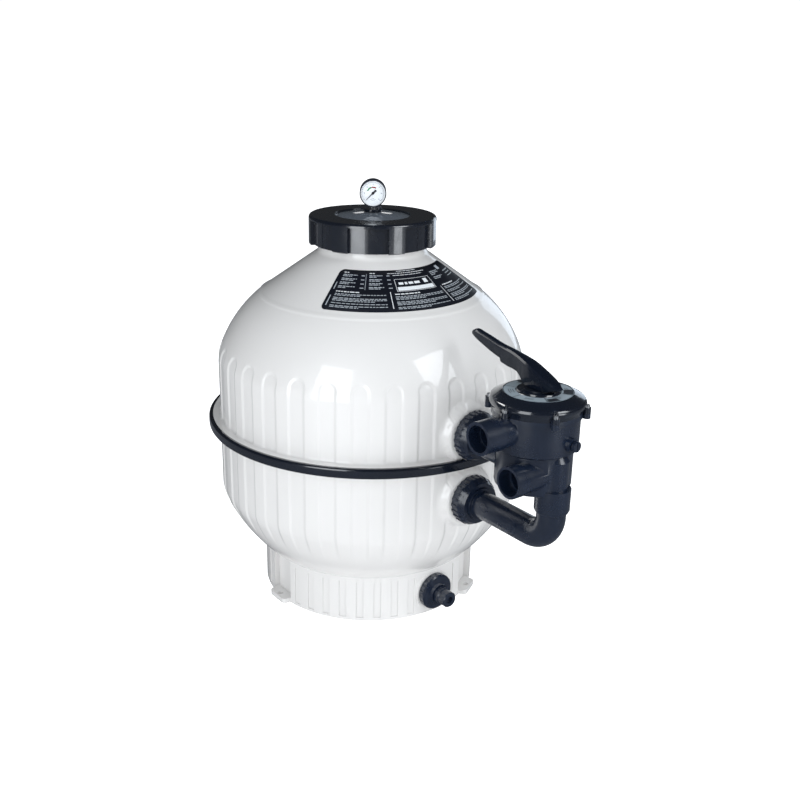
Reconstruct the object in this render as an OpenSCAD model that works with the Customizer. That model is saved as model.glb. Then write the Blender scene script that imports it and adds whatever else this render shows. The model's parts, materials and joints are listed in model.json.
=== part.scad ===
// Sand filter tank for a swimming pool, with a side-mounted multiport valve.
// Millimetres, +Z up. The origin is at floor level on the tank's axis, and the valve stands on +X.
// Screw threads are plain cylinders at their working radius, with a small running clearance.

/* [Tank] */
// Outside radius of the straight tank wall
tank_r = 300; // [298:0.5:302]
// Wall thickness of the two moulded shells
wall_t = 6; // [5:0.5:7]
// Height of the seam between the shells
seam_z = 357; // [355:0.5:359]
// Height at which the straight wall starts to close into the dome
dome_z = 476; // [474:0.5:478]
// Height at which the straight wall starts to close into the bowl
bowl_z = 228; // [226:0.5:230]
// Number of flutes pressed into the wall
flute_n = 32; // [16:4:40]
// Width of one flute
flute_w = 37; // [24:1:40]
// Depth of one flute
flute_d = 2.3; // [1.5:0.1:2.6]
// Height of the arched top of each flute
flute_top = 514; // [505:1:518]

/* [Base skirt] */
// Outside radius of the skirt
skirt_r = 216; // [214:0.5:218]
// Number of shallow grooves around the skirt
groove_n = 40; // [24:2:48]
// Radius of the circle through the three anchor holes
anchor_r = 219; // [218:0.5:221]
// Radius of an anchor hole
anchor_hole_r = 5.5; // [4:0.5:6]

/* [Lid and gauge] */
// Outside radius of the neck
neck_r = 103; // [102:0.5:104]
// Height of the neck's rim
neck_top = 743; // [742:0.5:744]
// Outside radius of the lobes on the clamp ring
ring_r = 121.7; // [119:0.1:124]
// Number of lobes on the clamp ring
ring_lobes = 7; // [5:1:9]
// Outside radius of the pressure gauge
gauge_r = 25.2; // [24:0.1:26]
// Height of the gauge's centre
gauge_z = 795; // [794:0.5:798]
// Direction that the gauge faces, measured from the valve side
gauge_turn = -36; // [-60:1:60]

/* [Unions] */
// Height of the lower union
low_z = 282; // [280:1:284]
// Height of the upper union
up_z = 407; // [406:1:409]
// Largest radius of a union nut
nut_r = 46; // [45:0.5:47]

/* [Valve] */
// Distance from the tank's axis to the valve's axis
valve_x = 465; // [463:1:468]
// Outside radius of the valve's drum
drum_r = 72.5; // [72:0.1:73]
// Minor radius of the female pipe threads in the ports
thread_r = 22.4; // [21:0.1:22.6]
// Number of bolts that hold the valve's lid
lid_bolts = 6; // [4:1:8]
// Lift of the stem when the handle is pressed
stem_lift = 8; // [6:0.5:8]

/* [Drain] */
// Height of the drain's axis
drain_z = 47; // [46:0.5:48]
// Radius of the drain nut
drain_nut_r = 36; // [30:1:38]

/* [Hidden] */
$fn = 96;
fine_fn = 180;
small_fn = 24;
clear = 0.05;
eps = 0.5;

// clamp ring: direction of one lobe, half a lobe's angle, and the radius of the recesses between lobes
lobe_phase = -14.1;
lobe_half = 7.5;
recess_r = 113;
lip_top = 754.6;

// seam flange and its trim
flange_r = 318;
flange_t = 10;
rebate_r = 314.3;
rebate_d = 2;
trim_r = 322.2;

// the arcs of the dome: a tight knuckle, then a wide sweep, then a cone up to the neck
up_knuckle_r = 60;
up_knuckle_a = 20;
up_sweep_r = 250;
up_sweep_a = 51.5;
cone_run = 1.41;
neck_fillet = 14;
neck_in_r = 93;

// the arcs of the bowl: a knuckle, a wide sweep, a closing arc and a shallow cone
low_knuckle_r = 68;
low_knuckle_a = 25;
low_sweep_r = 340;
low_sweep_a = 45;
low_close_r = 120;
low_close_a = 80;

// base skirt
skirt_t = 5;
groove_d = 1.9;
tab_phase = 30;
tab_r = 229;
tab_t = 10;
niche_r = 203;
niche_w = 60;
drain_pad_x = skirt_r + 0.6;

// union parts, along the union's axis
boss_r = 54;
boss_x = 312;
wall_bore_r = 38.6;
pad_x = 290.5;
face_x = 326;
tail_x = 327;
tail_flange_r = 37.8;
tail_r = 30;
nut_x0 = 312.6;
nut_x1 = 340;
pipe_r = 25;
pipe_in_r = 21;
bend_r = 45;
drop_x = 514;

// valve levels
body_z = 370;
deck_z = 441;
deck_top = 446;
joint_z = 506;
label_z = 534.4;
hub_z = 538;
pin_z = 551;
pump_x = valve_x + 2;
pump_z = 479;
side_x = 500;
side_z = 405;
port_end = 90;
bolt_r = 81;
ear_r = 6.5;
ear_turn = 36;
stem_r = 9;

// ---------- shared shapes ----------

// points on an arc about [cx, cz] from angle a0 to a1
function arc(cx, cz, r, a0, a1, n) =
    [for (i = [0:n]) let (a = a0 + (a1 - a0) * i / n) [cx + r * cos(a), cz + r * sin(a)]];

function reversed(pts) = [for (i = [len(pts) - 1:-1:0]) pts[i]];

// revolves an [r, z] outline about the tank's axis
module lathe(pts, fn = fine_fn) rotate_extrude($fn = fn) polygon(pts);

// revolves an [r, x] outline about the X axis
module lathe_x(pts, fn = $fn) rotate([0, 90, 0]) rotate_extrude($fn = fn) polygon(pts);

module ring(r_out, r_in, h) difference() {
    cylinder(r = r_out, h = h);
    translate([0, 0, -eps]) cylinder(r = r_in, h = h + 2 * eps);
}

// cylinder along +X from x0 to x1 at height z
module rod_x(r, x0, x1, z = 0) translate([x0, 0, z]) rotate([0, 90, 0]) cylinder(r = r, h = x1 - x0);

module tube_x(r_out, r_in, x0, x1, z = 0) difference() {
    rod_x(r_out, x0, x1, z);
    rod_x(r_in, x0 - eps, x1 + eps, z);
}

// cylinder along -Y from y0 to y1, measured outwards
module rod_out(r, x, z, y0, y1) translate([x, -y0, z]) rotate([90, 0, 0]) cylinder(r = r, h = y1 - y0);

module oring(mean_r, wire_r) rotate_extrude() translate([mean_r, 0]) circle(r = wire_r, $fn = small_fn);

// sector of a ring between two angles
module wedge(r0, r1, a0, a1, z0, z1) translate([0, 0, z0]) rotate([0, 0, a0])
    rotate_extrude(angle = a1 - a0) translate([r0, 0]) square([r1 - r0, z1 - z0]);

module around(n, phase = 0) for (i = [0:n - 1]) rotate([0, 0, phase + 360 * i / n]) children();

module at_valve() translate([valve_x, 0, 0]) children();

// quarter bend in the XZ plane about [cx, cz], from angle a0
module bend(r, cx, cz, a0) translate([cx, 0, cz]) rotate([90, 0, 0]) rotate([0, 0, a0])
    rotate_extrude(angle = 90) translate([bend_r, 0]) circle(r = r);

// ---------- outlines of the two shells ----------

up_k = [tank_r - up_knuckle_r, dome_z];
up_s = up_k - (up_sweep_r - up_knuckle_r) * [cos(up_knuckle_a), sin(up_knuckle_a)];
cone_n = [1, cone_run] / norm([1, cone_run]);
cone_start = up_s + up_sweep_r * [cos(up_sweep_a), sin(up_sweep_a)];
fillet_c = [neck_r + neck_fillet,
            cone_start[1] + (neck_fillet - (neck_r + neck_fillet - cone_start[0]) * cone_n[0]) / cone_n[1]];
cone_a = atan2(cone_n[1], cone_n[0]);

// height of the cone's surface, moved in by t, at radius r
function cone_z(r, t = 0) = cone_start[1] + ((cone_start[0] - r) * cone_n[0] - t) / cone_n[1];

// outer curve of the upper shell's wall, moved in by t, up to sweep angle a
function up_curve(t, a) = concat(
    arc(up_k[0], up_k[1], up_knuckle_r - t, 0, up_knuckle_a, 3),
    arc(up_s[0], up_s[1], up_sweep_r - t, up_knuckle_a, a, 8));

low_k = [tank_r - low_knuckle_r, bowl_z];
low_s = low_k + (low_sweep_r - low_knuckle_r) * [-cos(low_knuckle_a), sin(low_knuckle_a)];
low_c = low_s + (low_sweep_r - low_close_r) * [cos(low_sweep_a), -sin(low_sweep_a)];
bowl_end = low_c + low_close_r * [cos(low_close_a), -sin(low_close_a)];
bowl_tip_z = bowl_end[1] - bowl_end[0] * tan(90 - low_close_a);

// the bowl's curve from the wall down to the axis, moved in by t
function low_curve(t) = concat(
    arc(low_k[0], low_k[1], low_knuckle_r - t, 0, -low_knuckle_a, 3),
    arc(low_s[0], low_s[1], low_sweep_r - t, -low_knuckle_a, -low_sweep_a, 5),
    arc(low_c[0], low_c[1], low_close_r - t, -low_sweep_a, -low_close_a, 5),
    [[0, bowl_tip_z + t / cos(90 - low_close_a)]]);

module bowl_solid(t, top) lathe(concat([[0, top], [tank_r - t, top]], low_curve(t)));

// upright cutter for one flute, with an arched top
module flute_cutter(z0, z1) union() {
    translate([tank_r - 15, -flute_w / 2, z0]) cube([21, flute_w, z1 - flute_w / 2 - z0]);
    translate([0, 0, z1 - flute_w / 2]) rod_x(flute_w / 2, tank_r - 15, tank_r + 6);
}

// the ring-shaped layer that the upper flutes are pressed into
module up_flute_layer() lathe(concat(
    [[tank_r + 4, seam_z + flange_t], [tank_r - flute_d, seam_z + flange_t]],
    up_curve(flute_d, 30),
    [[tank_r + 4, dome_z + 60]]));

// the same for the lower flutes, whose depth runs out on the bowl
module low_flute_layer() let (fade = 36) lathe(concat(
    [[tank_r + 4, seam_z - flange_t], [tank_r - flute_d, seam_z - flange_t]],
    arc(low_k[0], low_k[1], low_knuckle_r - flute_d, 0, -low_knuckle_a, 3),
    [for (i = [1:4]) let (a = low_knuckle_a + (fade - low_knuckle_a) * i / 4,
                          r = low_sweep_r - flute_d * (1 - 1.1 * i / 4))
        low_s + r * [cos(a), -sin(a)]],
    [[tank_r + 4, bowl_z - 80]]));

// room for a union nut in front of the wall
module nut_room(z) rod_x(nut_r + 1, boss_x + 0.3, nut_x1 + 5, z);

// ---------- tank ----------

module upper_shell() color("whitesmoke") difference() {
    union() {
        difference() {
            lathe(concat(
                [[flange_r, seam_z], [flange_r, seam_z + flange_t - rebate_d],
                 [rebate_r, seam_z + flange_t - rebate_d], [rebate_r, seam_z + flange_t],
                 [tank_r, seam_z + flange_t]],
                up_curve(0, up_sweep_a),
                arc(fillet_c[0], fillet_c[1], neck_fillet, 180 + cone_a, 180, 5),
                [[neck_r, 706], [neck_r + 2.5, 709], [neck_r + 2.5, 736], [neck_r, 739],
                 [neck_r, neck_top], [neck_in_r, neck_top], [neck_in_r, cone_z(neck_in_r, wall_t)]],
                reversed(up_curve(wall_t, up_sweep_a)),
                [[tank_r - wall_t, seam_z]]));
            intersection() {
                around(flute_n, 180 / flute_n) flute_cutter(seam_z + flange_t - 1, flute_top);
                up_flute_layer();
            }
        }
        // raised bead where the dome meets the cone
        rotate_extrude($fn = fine_fn) translate(cone_start - [0.6, 0.6]) circle(r = 2, $fn = small_fn);
        intersection() {
            union() {
                rod_x(boss_r, tank_r - wall_t, boss_x, up_z);
                rod_x(48, pad_x, tank_r - 2, up_z);
            }
            translate([200, -100, seam_z]) cube([200, 200, 120]);
        }
    }
    rod_x(wall_bore_r, pad_x - eps, boss_x + eps, up_z);
    nut_room(up_z);
    translate([0, 0, neck_top - 2.6]) ring(100.8, 95.2, 2.6 + eps);
}

module lower_shell() color("whitesmoke") difference() {
    union() {
        difference() {
            union() {
                bowl_solid(0, seam_z);
                translate([0, 0, seam_z - flange_t + rebate_d]) cylinder(r = flange_r, h = flange_t - rebate_d, $fn = fine_fn);
                translate([0, 0, seam_z - flange_t]) cylinder(r = rebate_r, h = flange_t, $fn = fine_fn);
            }
            intersection() {
                around(flute_n, 180 / flute_n) translate([tank_r - 50, -flute_w / 2, bowl_z - 78])
                    cube([60, flute_w, seam_z - flange_t - bowl_z + 79]);
                low_flute_layer();
            }
        }
        rod_x(boss_r, tank_r - 25, boss_x, low_z);
        rod_x(22, 12, 125, drain_z);
    }
    difference() {
        bowl_solid(wall_t, seam_z + eps);
        rod_x(48, pad_x, tank_r, low_z);
    }
    rod_x(wall_bore_r, pad_x - eps, boss_x + eps, low_z);
    rod_x(15, 18, 126, drain_z);
}

// angle from the nearest of the three anchor tabs
function tab_gap(a) = abs((a + 90 - tab_phase) % 120 - 60);

module base_skirt() color("whitesmoke") difference() {
    union() {
        difference() {
            ring(skirt_r, skirt_r - skirt_t, 104, $fn = fine_fn);
            // grooves, with none at the tabs' niches or round the drain
            for (i = [1:groove_n - 2]) let (a = (i + 0.5) * 360 / groove_n)
                if (tab_gap(a) > 12) rotate([0, 0, a]) translate([skirt_r - groove_d, -7, 6]) cube([6, 14, 78]);
        }
        rod_x(40, skirt_r - 10, drain_pad_x, drain_z);
        around(3, tab_phase) {
            intersection() {
                translate([niche_r - skirt_t, -niche_w / 2 - skirt_t, 0])
                    cube([30, niche_w + 2 * skirt_t, 104]);
                cylinder(r = skirt_r - 1, h = 104, $fn = fine_fn);
            }
            anchor_tab();
        }
    }
    around(3, tab_phase) {
        translate([niche_r, -niche_w / 2, tab_t]) cube([30, niche_w, 104]);
        translate([anchor_r, 0, -eps]) cylinder(r = anchor_hole_r, h = tab_t + 2 * eps);
    }
    rod_x(16, 190, 230, drain_z);
    translate([0, 0, -clear]) bowl_solid(0, bowl_z);
}

// foot tab with two rounded corners
module anchor_tab() {
    corner = 8;
    mid = [tab_r - corner, 27 - corner];
    linear_extrude(tab_t) polygon(concat(
        [[niche_r - skirt_t, -27]],
        arc(mid[0], -mid[1], corner, -90, 0, 5),
        arc(mid[0], mid[1], corner, 0, 90, 5),
        [[niche_r - skirt_t, 27]]));
}

module trim_ring() color("black") difference() {
    lathe(concat(
        [[rebate_r + 0.2, seam_z - 8.1], [rebate_r + 0.2, seam_z - 10.2], [317.5, seam_z - 10.2]],
        arc(317.5, seam_z - 5.5, trim_r - 317.5, -90, 0, 4),
        arc(317.5, seam_z + 4.9, trim_r - 317.5, 0, 90, 4),
        [[rebate_r + 0.2, seam_z + 9.6], [rebate_r + 0.2, seam_z + 8.1],
         [flange_r + 0.1, seam_z + 8.1], [flange_r + 0.1, seam_z - 8.1]]));
    nut_room(up_z);
}

// printed label lying on the cone
module tank_label() color("black") {
    gap = 0.05;
    thick = 0.4;
    r0 = 124;
    r1 = 204;
    rotate([0, 0, -62.8]) rotate_extrude(angle = 108.8, $fn = fine_fn) polygon([
        [r0, cone_z(r0, -gap)], [r1, cone_z(r1, -gap)],
        [r1, cone_z(r1, -gap - thick)], [r0, cone_z(r0, -gap - thick)]]);
}

// ---------- lid, clamp ring and gauge ----------

lid_dome_r = 292.5;
lid_dome_z = 760;
lid_flange_r = 101.8;
lid_bottom = 744.9;
lid_top = 749.5;

module lid_oring() color("dimgray") translate([0, 0, neck_top - 0.35]) oring(98, 2.2, $fn = fine_fn);

module lid() color("slategray", 0.5) difference() {
    c = lid_dome_z - lid_dome_r;
    half = asin(72 / lid_dome_r);
    half_in = asin(70 / (lid_dome_r - 5));
    lathe(concat(
        [[lid_flange_r, lid_bottom], [lid_flange_r, lid_top], [73.6, lid_top]],
        arc(0, c, lid_dome_r, 90 - half, 90, 6),
        arc(0, c, lid_dome_r - 5, 90, 90 - half_in, 6),
        [[70, lid_bottom]]));
    cylinder(r = 10, h = 2 * lid_dome_z);
}

module slip_ring() color("white") translate([0, 0, lid_top + clear]) ring(lid_flange_r, 76, 1.4, $fn = fine_fn);

module lid_ring() color("black") difference() {
    lathe(concat(
        [[105.6, 700], [ring_r - 1.5, 700], [ring_r, 701.5]],
        arc(ring_r - 6, 749, 6, 0, 65, 4),
        [[72.5, lip_top], [72.5, 751.05], [105.6, 751.05]]));
    // finger recesses between the lobes, under the cap, each with a fine rib down its middle
    pitch = 360 / ring_lobes;
    around(ring_lobes, lobe_phase) difference() {
        wedge(recess_r, ring_r + 10, lobe_half, pitch - lobe_half, 699, 747);
        rotate([0, 0, pitch / 2]) translate([recess_r - 1, -0.8, 690]) cube([2, 1.6, 60]);
    }
}

module lid_boss_gasket() color("dimgray") translate([0, 0, lid_dome_z + clear]) ring(16, 10, 1);

module lid_boss() color("black") difference() {
    union() {
        translate([0, 0, lid_dome_z + 1.1]) cylinder(r = 17, h = 3.9);
        translate([0, 0, 744]) cylinder(r = 9.9, h = lid_dome_z + 2 - 744);
    }
    translate([0, 0, 750]) cylinder(r = 4.85, h = 20);
    translate([0, 0, 740]) cylinder(r = 2, h = 20);
    rotate([0, 0, gauge_turn + 90]) translate([12, 0, 740]) cylinder(r = 2.05, h = 30);
}

module lid_boss_nut() color("black") translate([0, 0, 746]) difference() {
    cylinder(r = 16, h = 8.4, $fn = 6);
    translate([0, 0, -eps]) cylinder(r = 9.95, h = 10);
}

module air_relief_screw() color("black") rotate([0, 0, gauge_turn + 90]) translate([12, 0, 0]) {
    translate([0, 0, lid_dome_z + 1.5]) cylinder(r = 2, h = 4);
    difference() {
        translate([0, 0, lid_dome_z + 5.05]) cylinder(r = 4, h = 5.2);
        around(12) translate([4.3, 0, lid_dome_z + 4]) cylinder(r = 0.7, h = 8, $fn = 16);
    }
}

// places a child whose +Z is the gauge's viewing direction and whose +X points down
module at_gauge() translate([0, 0, gauge_z]) rotate([0, 0, gauge_turn]) rotate([0, 90, 0]) children();

// distance of the movement behind the gauge's middle, and of the dial in front of it
post_back = 4;
dial_z = 7.4;

module gauge_stem() color("silver") {
    foot = lid_dome_z + 5;
    translate([0, 0, 752]) cylinder(r = 4.8, h = foot - 752 + 1);
    translate([0, 0, foot + clear]) cylinder(r = 7.5, h = gauge_z - gauge_r - foot - 0.15, $fn = 6);
    translate([0, 0, foot + 3]) cylinder(r = 5, h = gauge_z - gauge_r + 2.6 - foot - 3);
    rotate([0, 0, gauge_turn]) translate([-post_back, 0, gauge_z - gauge_r + 1.6]) cylinder(r = 2.2, h = 4.95);
}

module gauge_case() color("black") difference() {
    at_gauge() difference() {
        translate([0, 0, -13]) cylinder(r = gauge_r, h = 26);
        translate([0, 0, -11.8]) cylinder(r = gauge_r - 1.2, h = 23.3);
        cylinder(r = gauge_r - 1.8, h = 20);
    }
    translate([0, 0, gauge_z - gauge_r - 2]) cylinder(r = 5.05, h = 6);
}

module gauge_dial() color("white") at_gauge() translate([0, 0, dial_z]) ring(gauge_r - 1.3, 1.3, 0.6);

module gauge_lens() color("lightblue", 0.3) at_gauge()
    translate([0, 0, dial_z + 3.2]) cylinder(r = gauge_r - 1.3, h = 0.8);

module gauge_needle() color("black") at_gauge() rotate([0, 0, -45]) {
    translate([0, 0, -2]) cylinder(r = 1.2, h = dial_z + 4.8);
    translate([0, 0, dial_z + 1.2]) {
        cylinder(r = 2.6, h = 1.2);
        linear_extrude(1.2) polygon([[0, -1], [18.5, -0.25], [18.5, 0.25], [0, 1]]);
        linear_extrude(1.2) polygon([[0, -1.2], [-8, -2.2], [-8, 2.2], [0, 1.2]]);
    }
}

module gauge_bourdon_tube() color("goldenrod") at_gauge() translate([0, 0, -post_back])
    rotate_extrude(angle = 250) translate([gauge_r - 8.2, 0]) circle(r = 1.6, $fn = small_fn);

// ---------- pipework inside the tank ----------

// wall fitting: flange against the inside pad, threaded barrel through the wall
module bulkhead(z) color("dimgray") translate([0, 0, z]) difference() {
    lathe_x([[46, 281], [46, 287.5], [38.5, 287.5], [38.5, face_x], [22, face_x], [22, 302],
             [pipe_r + clear, 302], [pipe_r + clear, 281]]);
    tube_x(32.2, 27.8, face_x - 3, face_x + 1);
}
module upper_bulkhead() bulkhead(up_z);
module lower_bulkhead() bulkhead(low_z);

module bulkhead_gaskets() color("dimgray") for (z = [low_z, up_z])
    tube_x(44, wall_bore_r, 287.5 + clear, pad_x - clear, z);

module union_orings() color("dimgray") for (z = [low_z, up_z])
    translate([face_x - 1, 0, z]) rotate([0, 90, 0]) oring(30, 1.9);

// pipe from a bulkhead to the tank's axis, turned up (+1) or down (-1) to height z_end
module inner_pipe(z, dir, z_end) color("white") difference() {
    inner_pipe_solid(pipe_r, z, dir, z_end, 0);
    inner_pipe_solid(pipe_in_r, z, dir, z_end, eps);
}
module inner_pipe_solid(r, z, dir, z_end, more) {
    rod_x(r, bend_r, 301 + more, z);
    bend(r, bend_r, z + dir * bend_r, dir > 0 ? 180 : 90);
    z_turn = z + dir * bend_r;
    translate([0, 0, min(z_turn, z_end) - (dir < 0 ? more : 0)]) cylinder(r = r, h = abs(z_end - z_turn) + more);
}

diffuser_z = 625;
hub_top = 124;
lateral_z = 102;

module diffuser_pipe() inner_pipe(up_z, 1, diffuser_z + 18);
module collector_pipe() inner_pipe(low_z, -1, hub_top - 16);

module diffuser() color("white") translate([0, 0, diffuser_z]) difference() {
    lathe([[31, 0], [31, 18], [48, 24], [48, 46], [44, 50], [0, 50], [0, 46.5], [43, 46.5], [44.5, 44],
           [44.5, 26.5], [22, 18.5], [pipe_r + clear, 18.5], [pipe_r + clear, 0]], $fn);
    around(16) translate([30, -2, 29]) cube([30, 4, 13]);
}

module collector_hub() color("dimgray") difference() {
    translate([0, 0, hub_top - 34]) cylinder(r = 38, h = 34);
    translate([0, 0, hub_top - 16]) cylinder(r = pipe_r + clear, h = 20);
    translate([0, 0, hub_top - 30]) cylinder(r = pipe_in_r, h = 20);
    around(8, 22.5) rod_x(10 + clear, 27, 45, lateral_z);
    around(8, 22.5) rod_x(7, 10, 30, lateral_z);
}

// slotted collector arm: closed at the far end, with ring slots along it
module lateral() translate([0, 0, lateral_z]) lathe_x(concat(
    [[7, 27.2], [10, 27.2], [10, 42]],
    [for (i = [0:9]) for (p = [[10, 0], [9, 0], [9, 3], [10, 3]]) [p[0], 48 + i * 12 + p[1]]],
    [[10, 174], [7, 178], [0, 178], [0, 174], [7, 174]]), 48);

module laterals() color("white") around(8, 22.5) lateral();

// ---------- unions and outer pipe ----------

module union_nut(z) color("black") translate([0, 0, z]) difference() {
    union() {
        lathe_x([[38.6, nut_x0], [nut_r - 1.6, nut_x0], [nut_r - 1.6, 328], [38, nut_x1], [tail_r + 0.6, nut_x1],
                 [tail_r + 0.6, 333.1], [38.6, 333.1]]);
        intersection() {
            around_x(24) translate([nut_x0 + 0.4, -2.2, 36.5]) cube([24, 4.4, 20]);
            lathe_x([[40, nut_x0 + 0.4], [nut_r, nut_x0 + 0.4], [nut_r, 326], [nut_r - 4, 334], [40, 334]]);
        }
    }
    rod_x(38.6, nut_x0 - eps, 333.1);
}
module around_x(n) for (i = [0:n - 1]) rotate([360 * i / n, 0, 0]) children();
module union_nut_upper() union_nut(up_z);
module union_nut_lower() union_nut(low_z);

// tail that a union nut draws against its bulkhead, up to radius r at x_end
module tail(z, x_end) translate([0, 0, z])
    lathe_x([[0, tail_x], [tail_flange_r, tail_x], [tail_flange_r, 333], [tail_r, 333], [tail_r, x_end], [0, x_end]]);

module elbow_pipe() color("black") difference() {
    z_turn = low_z + bend_r;
    union() {
        tail(low_z, 344);
        rod_x(pipe_r, 340, drop_x - bend_r, low_z);
        bend(pipe_r, drop_x - bend_r, z_turn, 270);
        translate([drop_x, 0, z_turn]) cylinder(r = pipe_r, h = 372 - z_turn);
    }
    rod_x(pipe_in_r, tail_x - eps, drop_x - bend_r, low_z);
    bend(pipe_in_r, drop_x - bend_r, z_turn, 270);
    translate([drop_x, 0, z_turn]) cylinder(r = pipe_in_r, h = 60);
}

// ---------- multiport valve ----------

chamber_r = 66;
pocket_r = 58;
bore_r = 20;

// the return port's place, and the waste port's, half a turn round the drum from it
module at_side_ports() at_valve() for (turn = [0, 180])
    rotate([0, 0, turn]) translate([side_x - valve_x, 0, side_z]) children();

module valve_body() color("black") difference() {
    union() {
        at_valve() {
            lathe([[0, body_z], [58, body_z], [63.5, body_z + 3], [65, body_z + 8], [65, 438], [drum_r, 443],
                   [drum_r, 497], [76, 498], [76, joint_z], [0, joint_z]], $fn);
            around(lid_bolts, ear_turn) translate([bolt_r, 0, 497]) cylinder(r = ear_r, h = joint_z - 497);
            rotate([0, 0, 5]) rod_x(12, 60, 80, 462);
        }
        // tail to the upper union
        tail(up_z, valve_x - 50);
        // pump port
        rod_out(26.5, pump_x, pump_z, 40, 100);
        rod_out(28, pump_x, pump_z, 92, 130);
        at_side_ports() {
            rod_out(26, 0, 0, 22, port_end - 2);
            rod_out(27, 0, 0, port_end - 24, port_end);
        }
        // drop tube and the socket for the elbow pipe
        translate([drop_x, 0, 374]) cylinder(r = 24, h = 56);
        translate([drop_x, 0, 430]) cylinder(r1 = 24, r2 = 16, h = 12);
        translate([drop_x, 0, 342]) cylinder(r = 30, h = 38);
        translate([drop_x, 0, 338]) cylinder(r1 = 28, r2 = 30, h = 4);
    }
    at_valve() {
        translate([0, 0, deck_top]) cylinder(r = chamber_r, h = 80);
        for (s = [[-38, 38], [44, 136], [142, 218], [224, 316]]) wedge(14, pocket_r, s[0], s[1], body_z + 8, deck_z);
        around(6, 30) wedge(17, 56, -20, 20, deck_z - 1, deck_top + 1);
        translate([0, 0, deck_top - 12]) cylinder(r = 5.05, h = 20);
        translate([0, 0, joint_z - 2.4]) ring(71.2, 67.4, 5);
        around(lid_bolts, ear_turn) translate([bolt_r, 0, joint_z - 6.8]) cylinder(r = 3.6, h = 10);
        rotate([0, 0, 5]) rod_x(5.05, 50, 90, 462);
    }
    rod_x(24, tail_x - eps, valve_x - 52, up_z);
    rod_out(bore_r, pump_x, pump_z, 30, 131);
    rod_out(thread_r, pump_x, pump_z, 106, 131);
    at_side_ports() {
        rod_out(18, 0, 0, 38, port_end + 1);
        rod_out(thread_r, 0, 0, port_end - 24, port_end + 1);
    }
    translate([drop_x, 0, 337]) cylinder(r = pipe_r + clear, h = 36);
    translate([drop_x, 0, 360]) cylinder(r = bore_r, h = 68);
}

module valve_lid_oring() color("dimgray") at_valve() translate([0, 0, joint_z - 1.25]) oring(69.3, 1.15);

module valve_lid() color("black") at_valve() difference() {
    union() {
        lathe(concat(
            [[chamber_r, joint_z + clear], [76, joint_z + clear], [77.5, 512]],
            arc(71.2, 519.4, 9, -30, 55, 7),
            [[66, 532.2], [58.8, label_z + 0.6], [58, label_z], [37, label_z], [36, label_z + 1], [35, hub_z], [0, hub_z],
             [0, 508], [15, 508], [15, 525], [58, 525], [chamber_r, 514]]), $fn);
        around(lid_bolts, ear_turn) translate([bolt_r, 0, joint_z + clear]) cylinder(r = ear_r, h = 9.4);
    }
    translate([0, 0, 500]) cylinder(r = stem_r + clear, h = 50);
    around(lid_bolts, ear_turn) translate([bolt_r, 0, 500]) cylinder(r = 2.8, h = 20);
    around(lid_bolts, ear_turn) translate([bolt_r, 0, joint_z + 9.4]) cylinder(r = 4.8, h = 20);
}

module valve_lid_inserts() color("goldenrod") at_valve() around(lid_bolts, ear_turn)
    translate([bolt_r, 0, joint_z - 6.7]) ring(3.55, 2.55, 6.6);

module valve_lid_bolts() color("silver") at_valve() around(lid_bolts, ear_turn)
    translate([bolt_r, 0, joint_z + 9.5]) difference() {
        union() {
            cylinder(r = 4.2, h = 4.5);
            translate([0, 0, -16]) cylinder(r = 2.5, h = 17);
        }
        translate([0, 0, 2]) cylinder(r = 2.3, h = 4, $fn = 6);
    }

module valve_label() color("silver") at_valve() translate([0, 0, label_z + clear]) ring(57.4, 37.6, 0.5);

module spider_gasket() color("dimgray") at_valve() difference() {
    translate([0, 0, deck_top + clear]) cylinder(r = 60, h = 2.9);
    around(6, 30) wedge(18, 55, -19, 19, deck_top - 1, deck_top + 5);
    translate([0, 0, deck_top - 1]) cylinder(r = 8, h = 6);
}

disc_z = 449;
// height at which the stem's two flats start, under the pin
flat_z = pin_z - 15;

module diverter() color("gray") at_valve() difference() {
    union() {
        translate([0, 0, disc_z]) cylinder(r = 62, h = 8);
        wedge(24, 58, 130, 230, disc_z + 7, disc_z + 15);
        translate([0, 0, disc_z]) cylinder(r = 14, h = 21);
        translate([0, 0, disc_z - 12]) cylinder(r = 5, h = 13);
    }
    wedge(28, 55, 134, 226, disc_z - 1, disc_z + 12);
    wedge(24, 55, -20, 20, disc_z - 1, disc_z + 12);
    translate([0, 0, disc_z + 13]) cylinder(r = stem_r + clear, h = 20);
}

module valve_stem() color("silver") at_valve() difference() {
    union() {
        translate([0, 0, disc_z + 13.1]) cylinder(r = stem_r, h = flat_z - disc_z - 13.1);
        intersection() {
            translate([0, 0, flat_z - eps]) cylinder(r = stem_r, h = pin_z + 8 - flat_z + eps);
            translate([-10, -6, flat_z - eps]) cube([20, 12, 30]);
        }
    }
    for (z = [514, 521]) translate([0, 0, z]) ring(stem_r + 1, 7.4, 2);
    rod_out(3.05, 0, pin_z, -20, 20);
}

module stem_orings() color("dimgray") at_valve() for (z = [515, 522]) translate([0, 0, z]) oring(8.2, 0.75);

// coil spring between the diverter and the lid, in half turns that each tilt to meet the next
module valve_spring() color("silver") at_valve() {
    half_turns = 10;
    wire = 1.6;
    coil_r = 20;
    z0 = disc_z + 8.2 + wire;
    rise = (524.8 - wire - z0) / half_turns;
    for (i = [0:half_turns - 1]) translate([0, 0, z0 + (i + 0.5) * rise])
        rotate([0, asin(rise / 2 / coil_r), 180 * i])
            rotate_extrude(angle = 180) translate([coil_r, 0]) circle(r = wire, $fn = small_fn);
}

module thrust_washer() color("white") at_valve() translate([0, 0, hub_z + clear]) ring(24, stem_r + 0.3, 1.4);

module handle_pin() color("silver") at_valve() rod_out(3, 0, pin_z, -14.2, 14.2);

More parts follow.
